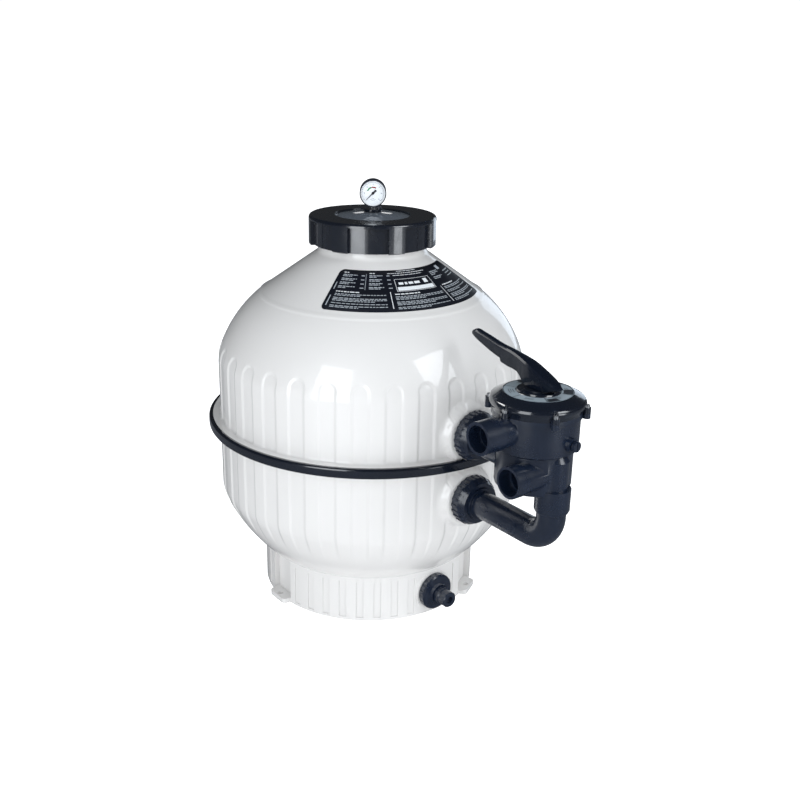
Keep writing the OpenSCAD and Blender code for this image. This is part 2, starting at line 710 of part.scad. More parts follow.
// side outline of the handle, from the tip over the top to the heel and back under
handle_side = [[-163, 592], [-163, 597], [-158, 603], [-90, 591], [-41, 584], [-22, 579], [14, 565.5],
               [40, 555.5], [47.5, 548], [40, 546], [22, 539.8], [-24.6, 539.8], [-36, 552.5], [-44, 557],
               [-68, 559], [-84, 562], [-88, 568.5], [-114, 574]];
// half width of the handle seen from above, from the tip to the heel
handle_half = [[-164, 5], [-152, 7], [-80, 7], [-45, 9.5], [-20, 13.4], [16, 14], [40, 10.5], [48, 6]];

module handle() color("black") at_valve() difference() {
    intersection() {
        rotate([90, 0, 0]) translate([0, 0, -15]) linear_extrude(30) polygon(handle_side);
        translate([0, 0, 530]) linear_extrude(80) polygon(concat(
            handle_half, [for (p = reversed(handle_half)) [p[0], -p[1]]]));
    }
    translate([-18, -6.2, pin_z - 20]) cube([36, 12.4, 20]);
    rod_y(12.6, 12.4, pin_z);
    rod_out(3.05, 0, pin_z, -20, 20);
    // finger hollow under the grip
    translate([-150, -4.5, 555]) cube([50, 9, 28]);
}
module rod_y(r, w, z) translate([0, w / 2, z]) rotate([90, 0, 0]) cylinder(r = r, h = w);

module bleed_plug() color("black") at_valve() rotate([0, 0, 5]) difference() {
    union() {
        rod_x(5, 68, 82, 462);
        rod_x(9, 82, 88, 462);
    }
    translate([85.5, -1, 450]) cube([5, 2, 24]);
}

module bleed_plug_oring() color("dimgray") at_valve() rotate([0, 0, 5])
    translate([80.95, 0, 462]) rotate([0, 90, 0]) oring(6.4, 0.9);

// ---------- drain ----------

module drain_pipe() color("dimgray") tube_x(14.9, 10, 92, 254, drain_z);

module drain_strainer() color("white") translate([0, 0, drain_z]) lathe_x(concat(
    [[0, 56], [14, 56]],
    [for (i = [0:4]) for (p = [[14, 0], [12.8, 0], [12.8, 2.5], [14, 2.5]]) [p[0], 59 + i * 6 + p[1]]],
    [[14, 91.9], [11, 91.9], [11, 58.5], [0, 58.5]]), 48);

module drain_gasket() color("dimgray") tube_x(24, 15.5, drain_pad_x + clear, skirt_r + 1.5, drain_z);

module drain_nut() color("black") translate([0, 0, drain_z]) difference() {
    lathe_x([[14.95, skirt_r + 1.55], [drain_nut_r, skirt_r + 1.55], [drain_nut_r, skirt_r + 12],
             [drain_nut_r - 3, skirt_r + 15], [21, skirt_r + 17], [19, skirt_r + 22], [14.95, skirt_r + 22]]);
    around_x(20) rod_x(1.8, skirt_r + 3, skirt_r + 23, drain_nut_r + 0.6, $fn = 16);
}

module drain_cap() color("black") translate([0, 0, drain_z]) difference() {
    lathe_x([[14.95, 240], [17, 240], [17, 250], [15.5, 252], [15.5, 266], [14, 268], [0, 268], [0, 258], [14.95, 258]]);
    around_x(16) rod_x(1, 253, 270, 16.2, $fn = 16);
    rod_x(7, 262, 270);
}

module drain_cap_seal() color("dimgray") rod_x(14.4, 254 + clear, 257.9, drain_z);

// ---------- nodes ----------

upper_shell();
lower_shell();
base_skirt();
trim_ring();
tank_label();
lid_ring();
slip_ring();
lid();
lid_oring();
lid_boss();
lid_boss_gasket();
lid_boss_nut();
air_relief_screw();
gauge_stem();
gauge_case();
gauge_dial();
gauge_lens();
gauge_needle();
gauge_bourdon_tube();
diffuser_pipe();
diffuser();
collector_pipe();
collector_hub();
laterals();
upper_bulkhead();
lower_bulkhead();
bulkhead_gaskets();
union_nut_upper();
union_nut_lower();
union_orings();
elbow_pipe();
valve_body();
valve_lid();
valve_lid_oring();
valve_lid_bolts();
valve_lid_inserts();
valve_label();
spider_gasket();
diverter();
valve_stem();
stem_orings();
valve_spring();
thrust_washer();
handle_pin();
handle();
bleed_plug();
bleed_plug_oring();
drain_pipe();
drain_gasket();
drain_nut();
drain_cap();
drain_cap_seal();
drain_strainer();
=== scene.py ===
"""Looks of a sand filter tank: moulded shells, printed labels, materials, studio and camera.

Lengths in the outlines are millimetres in the row frame; mesh() turns them into metres.
"""

import json
import math
import random

import bmesh
import bpy
import numpy as np
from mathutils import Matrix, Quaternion, Vector


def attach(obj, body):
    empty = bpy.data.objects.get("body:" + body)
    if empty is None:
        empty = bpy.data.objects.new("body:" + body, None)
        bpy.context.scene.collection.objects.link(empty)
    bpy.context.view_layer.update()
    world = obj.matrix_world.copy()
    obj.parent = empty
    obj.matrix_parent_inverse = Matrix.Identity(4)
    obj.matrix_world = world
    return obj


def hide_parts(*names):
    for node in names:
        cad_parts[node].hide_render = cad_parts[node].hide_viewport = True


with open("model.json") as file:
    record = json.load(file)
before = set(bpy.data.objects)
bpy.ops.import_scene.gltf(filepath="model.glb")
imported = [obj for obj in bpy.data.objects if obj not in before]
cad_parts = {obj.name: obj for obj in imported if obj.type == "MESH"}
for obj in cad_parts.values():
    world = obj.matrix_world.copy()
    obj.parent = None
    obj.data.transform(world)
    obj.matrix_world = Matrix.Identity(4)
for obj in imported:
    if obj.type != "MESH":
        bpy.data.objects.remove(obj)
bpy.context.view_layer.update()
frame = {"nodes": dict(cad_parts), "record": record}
nodes = frame["nodes"]
slots = {s["node"]: s["material_slot"] for s in frame["record"]["subparts"]}
MM = 0.001

# ---------- driving dimensions ----------

TANK_R = 300.0
WALL = 6.0
SEAM_Z = 357.0
FLANGE_R = 318.0
REBATE_R = 314.3
FLUTES = 32
FLUTE_HALF = 18.5
FLUTE_DEPTH = 2.1
FLUTE_TOP = 514.0
FLUTE_EDGE = 7.0
# the flutes end this far above and below the seam
FLUTE_STOP = 10.5
NECK_R = 103.0
NECK_IN_R = 93.0
NECK_TOP = 743.0
UNION_Z = {"upper": 407.0, "lower": 282.0}
BOSS_R = 54.0
BOSS_X = 312.0
VALVE_X = 465.0
VALVE_LABEL_TOP = 534.95
GAUGE_Z = 795.0
GAUGE_TURN = math.radians(-36)
DIAL_FACE = 8.0

# longest stretch of a plain outline and of a lining that isn't seen
COARSE_STEP = 6.0
LINING_STEP = 18.0

# ---------- outlines ----------


def arc(cx, cz, r, a0, a1, n):
    """Points of an arc about (cx, cz), angles in degrees."""
    a = np.radians(np.linspace(a0, a1, n + 1))
    return [(cx + r * math.cos(t), cz + r * math.sin(t)) for t in a]


def rounded(corners, n=4):
    """Rounds each (x, z, radius) corner of an open outline."""
    out = []
    for i, (x, z, r) in enumerate(corners):
        here = Vector((x, z))
        if r == 0 or i in (0, len(corners) - 1):
            out.append((x, z))
            continue
        before = (Vector(corners[i - 1][:2]) - here).normalized()
        after = (Vector(corners[i + 1][:2]) - here).normalized()
        half = before.angle(after) / 2
        reach = r / math.tan(half)
        centre = here + (before + after).normalized() * (r / math.sin(half))
        a, b = here + before * reach - centre, here + after * reach - centre
        for k in range(n + 1):
            out.append(tuple(centre + a.lerp(b, k / n).normalized() * r))
    return out


def fine(outline, step):
    """Adds points so that no stretch is longer than step(z)."""
    out = [outline[0]]
    for p, q in zip(outline, outline[1:]):
        length = math.dist(p, q)
        if length < 1e-6:
            continue
        n = max(1, math.ceil(length / step((p[1] + q[1]) / 2)))
        out += [(p[0] + (q[0] - p[0]) * k / n, p[1] + (q[1] - p[1]) * k / n) for k in range(1, n + 1)]
    return np.array(out)


def outward(outline):
    """Unit normals of an open outline, on its right-hand side as it runs."""
    t = np.gradient(outline, axis=0)
    t /= np.linalg.norm(t, axis=1)[:, None]
    return np.stack([t[:, 1], -t[:, 0]], 1)


def dome_curve(t):
    """Wall to cone of the upper shell, moved in by t: a tight knuckle, then a wide sweep."""
    knuckle = (TANK_R - 60, 476.0)
    a = math.radians(20)
    sweep = (knuckle[0] - 190 * math.cos(a), knuckle[1] - 190 * math.sin(a))
    return arc(*knuckle, 60 - t, 0, 20, 8) + arc(*sweep, 250 - t, 20, 51.5, 40)[1:]


def bowl_curve(t):
    """Wall to axis of the lower shell, moved in by t."""
    knuckle = (TANK_R - 68, 228.0)
    a, b = math.radians(25), math.radians(45)
    sweep = (knuckle[0] - 272 * math.cos(a), knuckle[1] + 272 * math.sin(a))
    close = (sweep[0] + 220 * math.cos(b), sweep[1] - 220 * math.sin(b))
    points = arc(*knuckle, 68 - t, 0, -25, 8) + arc(*sweep, 340 - t, -25, -45, 24)[1:]
    points += arc(*close, 120 - t, -45, -80, 16)[1:]
    r, z = points[-1]
    return points + [(1.0, z - (r - 1.0) * math.tan(math.radians(10)))]


CONE_RUN = 1.41
CONE_N = np.array([1, CONE_RUN]) / math.hypot(1, CONE_RUN)
CONE_START = np.array(dome_curve(0)[-1])


def cone_z(r, lift=0.0):
    """Height of the cone's surface at radius r, raised by lift."""
    return CONE_START[1] + ((CONE_START[0] - r) * CONE_N[0] + lift) / CONE_N[1]


# ---------- meshes ----------


def mesh(name, points, faces, smooth=True):
    """A mesh object from points in millimetres."""
    data = bpy.data.meshes.new(name)
    data.from_pydata((np.asarray(points, float) * MM).tolist(), [], faces)
    data.update()
    work = bmesh.new()
    work.from_mesh(data)
    bmesh.ops.recalc_face_normals(work, faces=work.faces)
    work.to_mesh(data)
    work.free()
    data.polygons.foreach_set("use_smooth", [smooth] * len(data.polygons))
    obj = bpy.data.objects.new(name, data)
    bpy.context.scene.collection.objects.link(obj)
    return obj


def grid_faces(rows, columns, loop_rows=False, loop_columns=True):
    """Faces of a grid of points."""
    last_r = rows if loop_rows else rows - 1
    last_c = columns if loop_columns else columns - 1
    i, j = np.meshgrid(np.arange(last_r), np.arange(last_c), indexing="ij")
    i2, j2 = (i + 1) % rows, (j + 1) % columns
    quads = np.stack([i * columns + j, i * columns + j2, i2 * columns + j2, i2 * columns + j], -1)
    return quads.reshape(-1, 4).tolist()


def smoothstep(x):
    """0 to 1 as x goes from 0 to 1, with soft ends."""
    x = np.clip(x, 0, 1)
    return x * x * (3 - 2 * x)


def flute_columns():
    """Angles round the tank, close together where a flute's edges run."""
    pitch = 2 * math.pi / FLUTES
    edge = np.arange(FLUTE_HALF - FLUTE_EDGE, FLUTE_HALF + 1.2, 0.85)
    half = np.concatenate([np.linspace(0, edge[0] - 2.5, 5), edge, [22.5, 26]])
    across = np.concatenate([-half[:0:-1], half]) / TANK_R
    return np.concatenate([(k + 0.5) * pitch + across for k in range(FLUTES)])


def fluted_shell(name, outer, inner, flute, boss_z):
    """Closed shell from an outer and an inner outline; flute(across, z) is the share of the flutes' depth."""
    theta = flute_columns()
    pitch = 2 * math.pi / FLUTES
    across = ((theta % pitch) - pitch / 2) * TANK_R
    n = outward(outer)
    sink = FLUTE_DEPTH * flute(across[None, :], outer[:, 1:2])
    r = outer[:, :1] - n[:, :1] * sink
    z = outer[:, 1:] - n[:, 1:] * sink
    x, y = r * np.cos(theta), r * np.sin(theta)
    # the raised boss that the union's wall fitting passes through
    away = np.hypot(y, outer[:, 1:2] - boss_z)
    on_wall = (x > 0) * (outer[:, :1] > 250) * (outer[:, :1] <= TANK_R + 4)
    rise = smoothstep((BOSS_R + 5 - away) / 6) * on_wall
    x = x + np.maximum(BOSS_X - x, 0) * rise
    skin = np.stack([x, y, z * np.ones_like(x)], -1)
    lining = np.stack([inner[:, :1] * np.cos(theta), inner[:, :1] * np.sin(theta),
                       inner[:, 1:] * np.ones_like(theta)], -1)
    points = np.concatenate([skin, lining])
    return mesh(name, points.reshape(-1, 3), grid_faces(len(points), len(theta), loop_rows=True))


def upper_flute(across, z):
    """Straight sides and an arched top."""
    arch = FLUTE_TOP - FLUTE_HALF
    away = np.where(z < arch, np.abs(across), np.hypot(across, np.maximum(z - arch, 0)))
    return smoothstep((FLUTE_HALF - away) / FLUTE_EDGE) * (z > SEAM_Z + FLUTE_STOP)


def lower_flute(across, z):
    """Straight sides, running out on the bowl."""
    run_out = smoothstep((z - 150) / 55) * (z < SEAM_Z - FLUTE_STOP)
    return smoothstep((FLUTE_HALF - np.abs(across)) / FLUTE_EDGE) * run_out


def upper_step(z):
    """Longest stretch of the upper shell's outline at height z: short at the flutes' tops and at the bead."""
    if 492 < z < 516:
        return 1.3
    return 2.0 if 600 < z < 613 else COARSE_STEP


def make_upper_shell():
    fillet_r = 14
    fillet = (NECK_R + fillet_r, cone_z(NECK_R + fillet_r) + fillet_r / CONE_N[1])
    slope = math.degrees(math.atan2(CONE_N[1], CONE_N[0]))
    foot = rounded([(FLANGE_R, SEAM_Z, 0), (FLANGE_R, SEAM_Z + 8, 0.6), (REBATE_R, SEAM_Z + 8, 0.3),
                    (REBATE_R, SEAM_Z + 10, 0.8), (TANK_R, SEAM_Z + 10, 3.5), (TANK_R, 470, 0)])
    neck = rounded([(NECK_R, 700, 0), (NECK_R, 706, 1), (NECK_R + 2.5, 709, 1), (NECK_R + 2.5, 736, 1),
                    (NECK_R, 739, 0.6), (NECK_R, NECK_TOP, 0.6), (NECK_IN_R, NECK_TOP, 0.6),
                    (NECK_IN_R, NECK_TOP - 4, 0)])
    body = dome_curve(0) + arc(*fillet, fillet_r, 180 + slope, 180, 8)
    outer = fine(foot + body + neck, upper_step)
    # the low bead where the dome meets the cone
    away = np.linalg.norm(outer - CONE_START, axis=1)
    outer = outer + outward(outer) * (1.2 * np.exp(-((away / 2.2) ** 2)))[:, None]
    inner = fine([(NECK_IN_R, cone_z(NECK_IN_R, -WALL))] + dome_curve(WALL)[::-1] + [(TANK_R - WALL, SEAM_Z)],
                 lambda z: LINING_STEP)
    shell = fluted_shell("upper_shell_moulding", outer, inner, upper_flute, UNION_Z["upper"])
    return finish_piece(shell, "tank", "tank_white", "upper_shell")


def make_lower_shell():
    foot = rounded([(FLANGE_R, SEAM_Z, 0), (FLANGE_R, SEAM_Z - 8, 0.6), (REBATE_R, SEAM_Z - 8, 0.3),
                    (REBATE_R, SEAM_Z - 10, 0.8), (TANK_R, SEAM_Z - 10, 3.5), (TANK_R, 234, 0)])
    outer = fine(foot + bowl_curve(0), lambda z: COARSE_STEP)
    inner = fine(bowl_curve(WALL)[::-1] + [(TANK_R - WALL, SEAM_Z)], lambda z: LINING_STEP)
    # the outline runs downwards here, so its right-hand side is the inside
    shell = fluted_shell("lower_shell_moulding", outer[::-1], inner[::-1], lower_flute, UNION_Z["lower"])
    return finish_piece(shell, "tank", "tank_white", "lower_shell")


# ---------- printed patches ----------


class Print:
    """Collects small flat patches of one ink into one mesh."""

    def __init__(self, place):
        self.place = place
        self.points, self.faces = [], []

    def patch(self, u0, u1, v0, v1, lift, columns=1):
        """A rectangle in the sheet's own (u, v), laid on the surface by place(u, v, lift)."""
        start = len(self.points)
        for k in range(columns + 1):
            u = u0 + (u1 - u0) * k / columns
            self.points += [self.place(u, v0, lift), self.place(u, v1, lift)]
        for k in range(columns):
            a = start + 2 * k
            self.faces.append((a, a + 1, a + 3, a + 2))

    def done(self, name, body, slot, material):
        obj = mesh(name, self.points, self.faces, smooth=False)
        obj.data.materials.append(material)
        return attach(obj, body)


def on_cone(angle, r, lift):
    """A point on the tank's cone; angle in degrees, r the radius from the tank's axis."""
    a = math.radians(angle)
    base = r + lift * CONE_N[0]
    return (base * math.cos(a), base * math.sin(a), cone_z(r) + lift * CONE_N[1])


def on_dial(angle, r, lift):
    """A point in front of the gauge's dial; angle in degrees clockwise from the top."""
    a = math.radians(angle)
    right, up = r * math.sin(a), r * math.cos(a)
    face = (math.cos(GAUGE_TURN), math.sin(GAUGE_TURN))
    return (face[0] * lift - face[1] * right, face[1] * lift + face[0] * right, GAUGE_Z + up)


def on_valve(angle, r, lift):
    """A point on the valve's label ring; angle in degrees."""
    a = math.radians(angle)
    return (VALVE_X + r * math.cos(a), r * math.sin(a), lift)


LABEL = {"a0": -62.8, "a1": 46.0, "r0": 124.0, "r1": 204.0, "corner": 9.0, "lift": 0.45}


def make_tank_label():
    """The film on the cone, with rounded corners."""
    a0, a1, r0, r1, corner = (LABEL[k] for k in ("a0", "a1", "r0", "r1", "corner"))
    steps = np.concatenate([4 * np.linspace(0, 1, 15) ** 2, np.linspace(4, a1 - a0 - 4, 110)[1:],
                            a1 - a0 - 4 * np.linspace(1, 0, 15)[1:] ** 2])
    rows = 6
    points = []
    for s in steps:
        edge = min(s, a1 - a0 - s)

        def cut(r):
            t = max(0.0, 1 - math.radians(edge) * r / corner)
            return corner * (1 - math.sqrt(max(0.0, 1 - min(t, 1.0) ** 2)))

        low, high = r0 + cut(r0), r1 - cut(r1)
        points += [on_cone(a0 + s, low + (high - low) * k / rows, LABEL["lift"]) for k in range(rows + 1)]
    label = mesh("tank_label_film", points, grid_faces(len(steps), rows + 1, loop_columns=False))
    film = label.modifiers.new("thickness", "SOLIDIFY")
    film.thickness = 0.35 * MM
    film.offset = -1
    return finish_piece(label, "tank", "label_print", "tank_label")


def text_lines(ink, rng, a0, a1, r0, groups, pitch=2.5, height=0.5, gap=2.3):
    """Groups of lines of plain bars broken up like words, with no lettering. Returns the next free radius."""
    r = r0
    for lines in groups:
        for k in range(lines):
            end = a1 if k < lines - 1 or lines == 1 else a0 + (a1 - a0) * rng.uniform(0.45, 0.8)
            a = a0
            while a < end - 0.4:
                word = rng.uniform(1.4, 4.4) * 150 / (r + 40)
                ink.patch(a, min(a + word, end), r, r + pitch * height, LABEL["lift"] + 0.1, 2)
                a += word + 0.5
            r += pitch
        r += gap
    return r


def make_label_print():
    rng = random.Random(7)
    lift = LABEL["lift"] + 0.1
    white, grey = Print(on_cone), Print(on_cone)
    # two tables at the left: a heading, rows and a column of short values
    for a0, a1 in ((-58.5, -47), (-38, -28)):
        text_lines(white, rng, a0, a0 + 4, 129, (1,), height=0.6)
        text_lines(grey, rng, a0, a1, 133.5, (2, 2, 2, 2), pitch=2.7, gap=2.2, height=0.55)
        for k in range(4):
            grey.patch(a1 + 3, a1 + 5.5, 134 + 8 * k, 135.6 + 8 * k, lift, 2)
    grey.patch(-40.6, -40.3, 131, 162, lift)
    # centred headline and the framed panel under it
    for k, reach in enumerate((9, 17, 13)):
        text_lines(white, rng, -7 - reach, -7 + reach, 126 + 4 * k, (1,), height=0.4)
    frame_a, frame_r = (-20, 9), (142, 165.5)
    for r in frame_r:
        white.patch(*frame_a, r, r + 0.6, lift, 24)
    for a in frame_a:
        white.patch(a, a + 0.3, *frame_r, lift)
    white.patch(frame_a[0] + 1, frame_a[1] - 0.7, 157.5, 164.5, lift, 24)
    for a0, a1 in ((-17.5, -14), (-13, -11), (-10, -6.5), (-5.5, -1)):
        white.patch(a0, a1, 148.5, 153, lift, 6)
    white.patch(2.5, 6, 145.5, 153.5, lift, 4)
    # notes at the right
    text_lines(grey, rng, 14, 25, 136, (3, 2), pitch=3)
    grey.patch(26.5, 31, 129, 137, lift, 4)
    text_lines(grey, rng, 31.5, 42, 142, (1, 1, 1), pitch=3)
    # paragraphs along the bottom, split by upright rules
    for a0, a1, r0, groups in ((-58.5, -27.5, 166.5, (2, 3, 1, 2)), (-22, 11, 170, (3, 3, 2)),
                               (15.5, 42, 164, (2, 2, 3, 2))):
        text_lines(white, rng, a0, a0 + 0.5 * (a1 - a0), r0, (1,), pitch=3, height=0.6)
        text_lines(grey, rng, a0, a1, r0 + 5, groups, pitch=2.6)
    for a in (-24.8, 13.0):
        white.patch(a, a + 0.4, 166, 198, lift)
    for r0, r1 in ((150, 164), (176, 196)):
        grey.patch(-61, -60.4, r0, r1, lift)
    white.done("tank_label_ink_white", "tank", "label_print", ink_material("ink_white", (0.8, 0.83, 0.86)))
    grey.done("tank_label_ink_grey", "tank", "label_print", ink_material("ink_grey", (0.42, 0.46, 0.5)))


def make_dial_print():
    face = DIAL_FACE + 0.08
    black, green, red = Print(on_dial), Print(on_dial), Print(on_dial)
    sweep = (-135, 135)
    divisions = 30
    for k in range(divisions + 1):
        a = sweep[0] + (sweep[1] - sweep[0]) * k / divisions
        major = k % 5 == 0
        width = 0.7 if major else 0.35
        black.patch(a - width, a + width, 17.6 if major else 18.8, 20.2, face)
    black.patch(*sweep, 20.2, 20.45, face, 60)
    for k in range(7):
        a = sweep[0] + (sweep[1] - sweep[0]) * k / 6
        black.patch(a - 2.6, a + 2.6, 15.0, 16.2, face, 2)
    for reach, low, high in ((22, 12.5, 13.1), (14, 9.5, 10.0)):
        black.patch(180 - reach, 180 + reach, low, high, face, 8)
    green.patch(-68, -16, 9.6, 12.2, face, 16)
    red.patch(-14, 32, 9.6, 12.2, face, 16)
    black.done("gauge_dial_marks", "lid_unit", "dial_white", ink_material("ink_black", (0.1, 0.14, 0.2)))
    green.done("gauge_dial_green", "lid_unit", "dial_white", ink_material("ink_green", (0.08, 0.36, 0.16)))
    red.done("gauge_dial_red", "lid_unit", "dial_white", ink_material("ink_red", (0.4, 0.05, 0.04)))


def make_valve_print():
    rng = random.Random(3)
    dark = Print(on_valve)
    lift = VALVE_LABEL_TOP + 0.08
    positions = 6
    for k in range(positions):
        a = 360 / positions * k
        dark.patch(a + 29.2, a + 30.8, 38.5, 56.5, lift)
        for row in range(2 if k % 2 else 3):
            end = a - 12 + rng.uniform(12, 24)
            dark.patch(a - 12, end, 48.5 - 3.6 * row, 49.6 - 3.6 * row, lift, 8)
    for a0, a1, r0 in ((32, 58, 41), (-28, -6, 44), (150, 176, 40), (92, 112, 48)):
        dark.patch(a0, a1, r0, 56.5, lift, 10)
    dark.patch(0, 360, 56.8, 57.2, lift, 120)
    dark.done("valve_label_marks", "tank", "silver_label", ink_material("ink_valve", (0.02, 0.025, 0.035)))


# ---------- handle ----------

# side outline of the handle about the valve's axis: top edge and underside, from the tip to the heel
HANDLE_TOP = ((-163, 597), (-159, 602), (-152, 603), (-120, 597), (-90, 591), (-60, 587.5), (-41, 584),
              (-22, 579), (-4, 572.5), (14, 565.5), (30, 559.5), (40, 555.5), (45, 552), (47.5, 548))
HANDLE_LOW = ((-163, 592), (-140, 583.5), (-114, 574.5), (-91, 568.5), (-88, 568), (-86.5, 562.5),
              (-83, 561.3), (-68, 558.8), (-55, 558.5), (-44, 557), (-36, 552.5), (-29, 546), (-22, 541),
              (-14, 540), (22, 540), (30, 542), (40, 546), (47.5, 547))
# half of the handle's width along the same line
HANDLE_HALF = ((-163, 4), (-160, 5.6), (-152, 6.8), (-120, 7), (-80, 7.2), (-55, 8.6), (-40, 10.3),
               (-25, 12.6), (-12, 14), (16, 14), (30, 12.6), (40, 10.5), (47.5, 6.5))
# the pin's height, and the slot between the handle's two cheeks that the stem stands in
PIN_Z = 551.0
SLOT_HALF = 6.2
SLOT_REACH = 18.0
SLOT_ROUND = 12.6


def read_off(line, x):
    """Height of an outline at x."""
    return float(np.interp(x, [p[0] for p in line], [p[1] for p in line]))


def settled(line, x, window=5.0):
    """The outline's height at x, evened out over a short window so that it bends softly."""
    shares = np.linspace(-window, window, 9)
    return sum(read_off(line, x + d) for d in shares) / len(shares)


def handle_section(x):
    """One closed cross-section (y, z): flat sides, bevelled upper edges, crowned top, a slot below."""
    top, low, half = settled(HANDLE_TOP, x), read_off(HANDLE_LOW, x), settled(HANDLE_HALF, x)
    top = max(top, low + 2.0)
    edge = min(2.8, 0.4 * half, 0.45 * (top - low))
    gap = min(SLOT_HALF, 0.55 * half)
    roof = low
    if abs(x) < SLOT_REACH:
        gap = SLOT_HALF
        roof = PIN_Z + math.sqrt(max(0.0, SLOT_ROUND ** 2 - x * x))
    left = [(half - 1.3, low), (half - 0.4, low + 0.4), (half, low + 1.3)]
    left += [(half, top - 1.25 * edge), (half - 0.85 * edge, top - 0.1 * edge)]
    left += [(half * 0.45, top + 0.2 * edge), (0.0, top + 0.3 * edge)]
    right = [(-y, z) for y, z in left[-2::-1]]
    return left + right + [(-gap, low), (-gap, roof), (gap, roof), (gap, low)]


def make_handle():
    """The cam lever: a slender arm that widens and bends down into a yoke over the stem."""
    wall = SLOT_REACH + 0.01
    arm = [np.linspace(-163, -150, 8), np.linspace(-147, -92, 14), np.linspace(-90.5, -82, 12)]
    yoke = [np.linspace(-79, -20, 30), [-wall, -SLOT_REACH + 0.01], np.linspace(-16, 16, 23)]
    heel = [[SLOT_REACH - 0.01, wall], np.linspace(20, 47.5, 14)]
    stations = np.concatenate(arm + yoke + heel)
    sections = [handle_section(x) for x in stations]
    points = [(VALVE_X + x, y, z) for x, section in zip(stations, sections) for y, z in section]
    size = len(sections[0])
    faces = grid_faces(len(stations), size)
    last = (len(stations) - 1) * size
    faces += [tuple(range(size)), tuple(range(last + size - 1, last - 1, -1))]
    lever = mesh("handle_lever", points, faces)
    lever.data.set_sharp_from_angle(angle=math.radians(28))
    return finish_piece(lever, "handle_lever", "handle_gloss", "handle")


# ---------- materials ----------


class Shader:
    """Builds a node material round one Principled BSDF."""

    def __init__(self, name):
        self.material = bpy.data.materials.new(name)
        self.material.use_nodes = True
        self.tree = self.material.node_tree
        self.bsdf = self.tree.nodes["Principled BSDF"]
        self.place = self.add("ShaderNodeTexCoord").outputs["Object"]

    def add(self, kind, inputs=None, **settings):
        node = self.tree.nodes.new(kind)
        for key, value in settings.items():
            setattr(node, key, value)
        for key, value in (inputs or {}).items():
            self.put(node, key, value)
        return node

    def put(self, node, key, value):
        socket = node.inputs[key]
        if isinstance(value, bpy.types.NodeSocket):
            self.tree.links.new(value, socket)
        else:
            socket.default_value = value

    def noise(self, scale, detail=3.0, stretch=(1, 1, 1), distortion=0.0):
        place = self.add("ShaderNodeMapping", {"Vector": self.place, "Scale": stretch}).outputs[0]
        inputs = {"Vector": place, "Scale": scale, "Detail": detail, "Distortion": distortion}
        return self.add("ShaderNodeTexNoise", inputs).outputs["Fac"]

    def remap(self, value, low, high, new_low, new_high):
        inputs = {"Value": value, "From Min": low, "From Max": high, "To Min": new_low, "To Max": new_high}
        return self.add("ShaderNodeMapRange", inputs).outputs[0]

    def mix(self, share, a, b):
        node = self.add("ShaderNodeMix", data_type="RGBA")
        self.put(node, 0, share)
        for key, value in ((6, a), (7, b)):
            self.put(node, key, value if isinstance(value, bpy.types.NodeSocket) else (*value[:3], 1.0))
        return node.outputs[2]

    def total(self, a, b, how="ADD"):
        node = self.add("ShaderNodeMath", operation=how)
        self.put(node, 0, a)
        self.put(node, 1, b)
        return node.outputs[0]

    def bump(self, *layers):
        """Stacks (height, strength, distance in metres) layers into the normal."""
        normal = None
        for height, strength, distance in layers:
            inputs = {"Height": height, "Strength": strength, "Distance": distance}
            if normal is not None:
                inputs["Normal"] = normal
            normal = self.add("ShaderNodeBump", inputs).outputs[0]
        self.put(self.bsdf, "Normal", normal)
        self.put(self.bsdf, "Coat Normal", normal)

    def set(self, **values):
        for key, value in values.items():
            self.put(self.bsdf, key.replace("_", " "), value)


def shade(colour, factor):
    return tuple(min(1.0, c * factor) for c in colour[:3])


def moulded_plastic(name, colour, rough, coat=0.0, coat_rough=0.06, grain=0.15, peel=0.1, worn=1.35,
                    specular=0.5, streaks=0.0, mottling=0.05, scuffs=0.35, rubbed=0.5, painted_glow=0.0):
    """Moulded plastic: cloudy colour, fine grain, flow streaks, light scuffs and rubbed edges, and where
    asked a painted glow that lifts the colour as if more light fell on it.
    """
    s = Shader(name)
    cloud = s.noise(7, 2)
    base = s.mix(s.remap(cloud, 0.3, 0.7, 0, 1), shade(colour, 1 - mottling), shade(colour, 1 + mottling))
    scuff = s.remap(s.noise(60, 6, (1, 1, 0.25), 1.5), 0.66, 0.78, 0, scuffs)
    base = s.mix(scuff, base, shade(colour, worn))
    edge = s.add("ShaderNodeNewGeometry").outputs["Pointiness"]
    base = s.mix(s.remap(edge, 0.53, 0.62, 0, rubbed), base, shade(colour, worn))
    s.put(s.bsdf, "Base Color", base)
    wear = s.remap(s.noise(38, 5), 0.35, 0.7, -0.16, 0.22)
    wear = s.total(s.total(wear, rough, "MULTIPLY"), s.total(scuff, 0.25, "MULTIPLY"))
    s.put(s.bsdf, "Roughness", s.total(wear, rough))
    s.set(Specular_IOR_Level=specular, Coat_Weight=coat, Coat_Roughness=coat_rough)
    # painted glow: the surface emits light of its own to look brighter, though it is no lamp
    if painted_glow:
        s.set(Emission_Color=(*colour, 1.0), Emission_Strength=painted_glow)
    layers = [(s.noise(55, 2), peel, 0.0006), (s.noise(1500, 3), grain, 0.00006)]
    if streaks:
        layers.append((s.noise(90, 3, (1, 1, 0.04)), streaks, 0.0004))
    s.bump(*layers)
    return s.material


def rubber(name, colour):
    s = Shader(name)
    base = s.mix(s.noise(180, 5), shade(colour, 0.8), shade(colour, 1.5))
    s.set(Base_Color=base, Roughness=s.remap(s.noise(300), 0.3, 0.7, 0.6, 0.85), Specular_IOR_Level=0.3)
    s.bump((s.noise(900, 4), 0.3, 0.0001))
    return s.material


def metal(name, colour, rough, brushed=(1, 1, 0.05)):
    s = Shader(name)
    line = s.noise(700, 4, brushed)
    base = s.mix(s.noise(25, 4), shade(colour, 0.85), shade(colour, 1.08))
    s.set(Base_Color=base, Metallic=1.0, Roughness=s.remap(line, 0.3, 0.7, rough * 0.7, rough * 1.5))
    s.bump((line, 0.15, 0.00008))
    return s.material


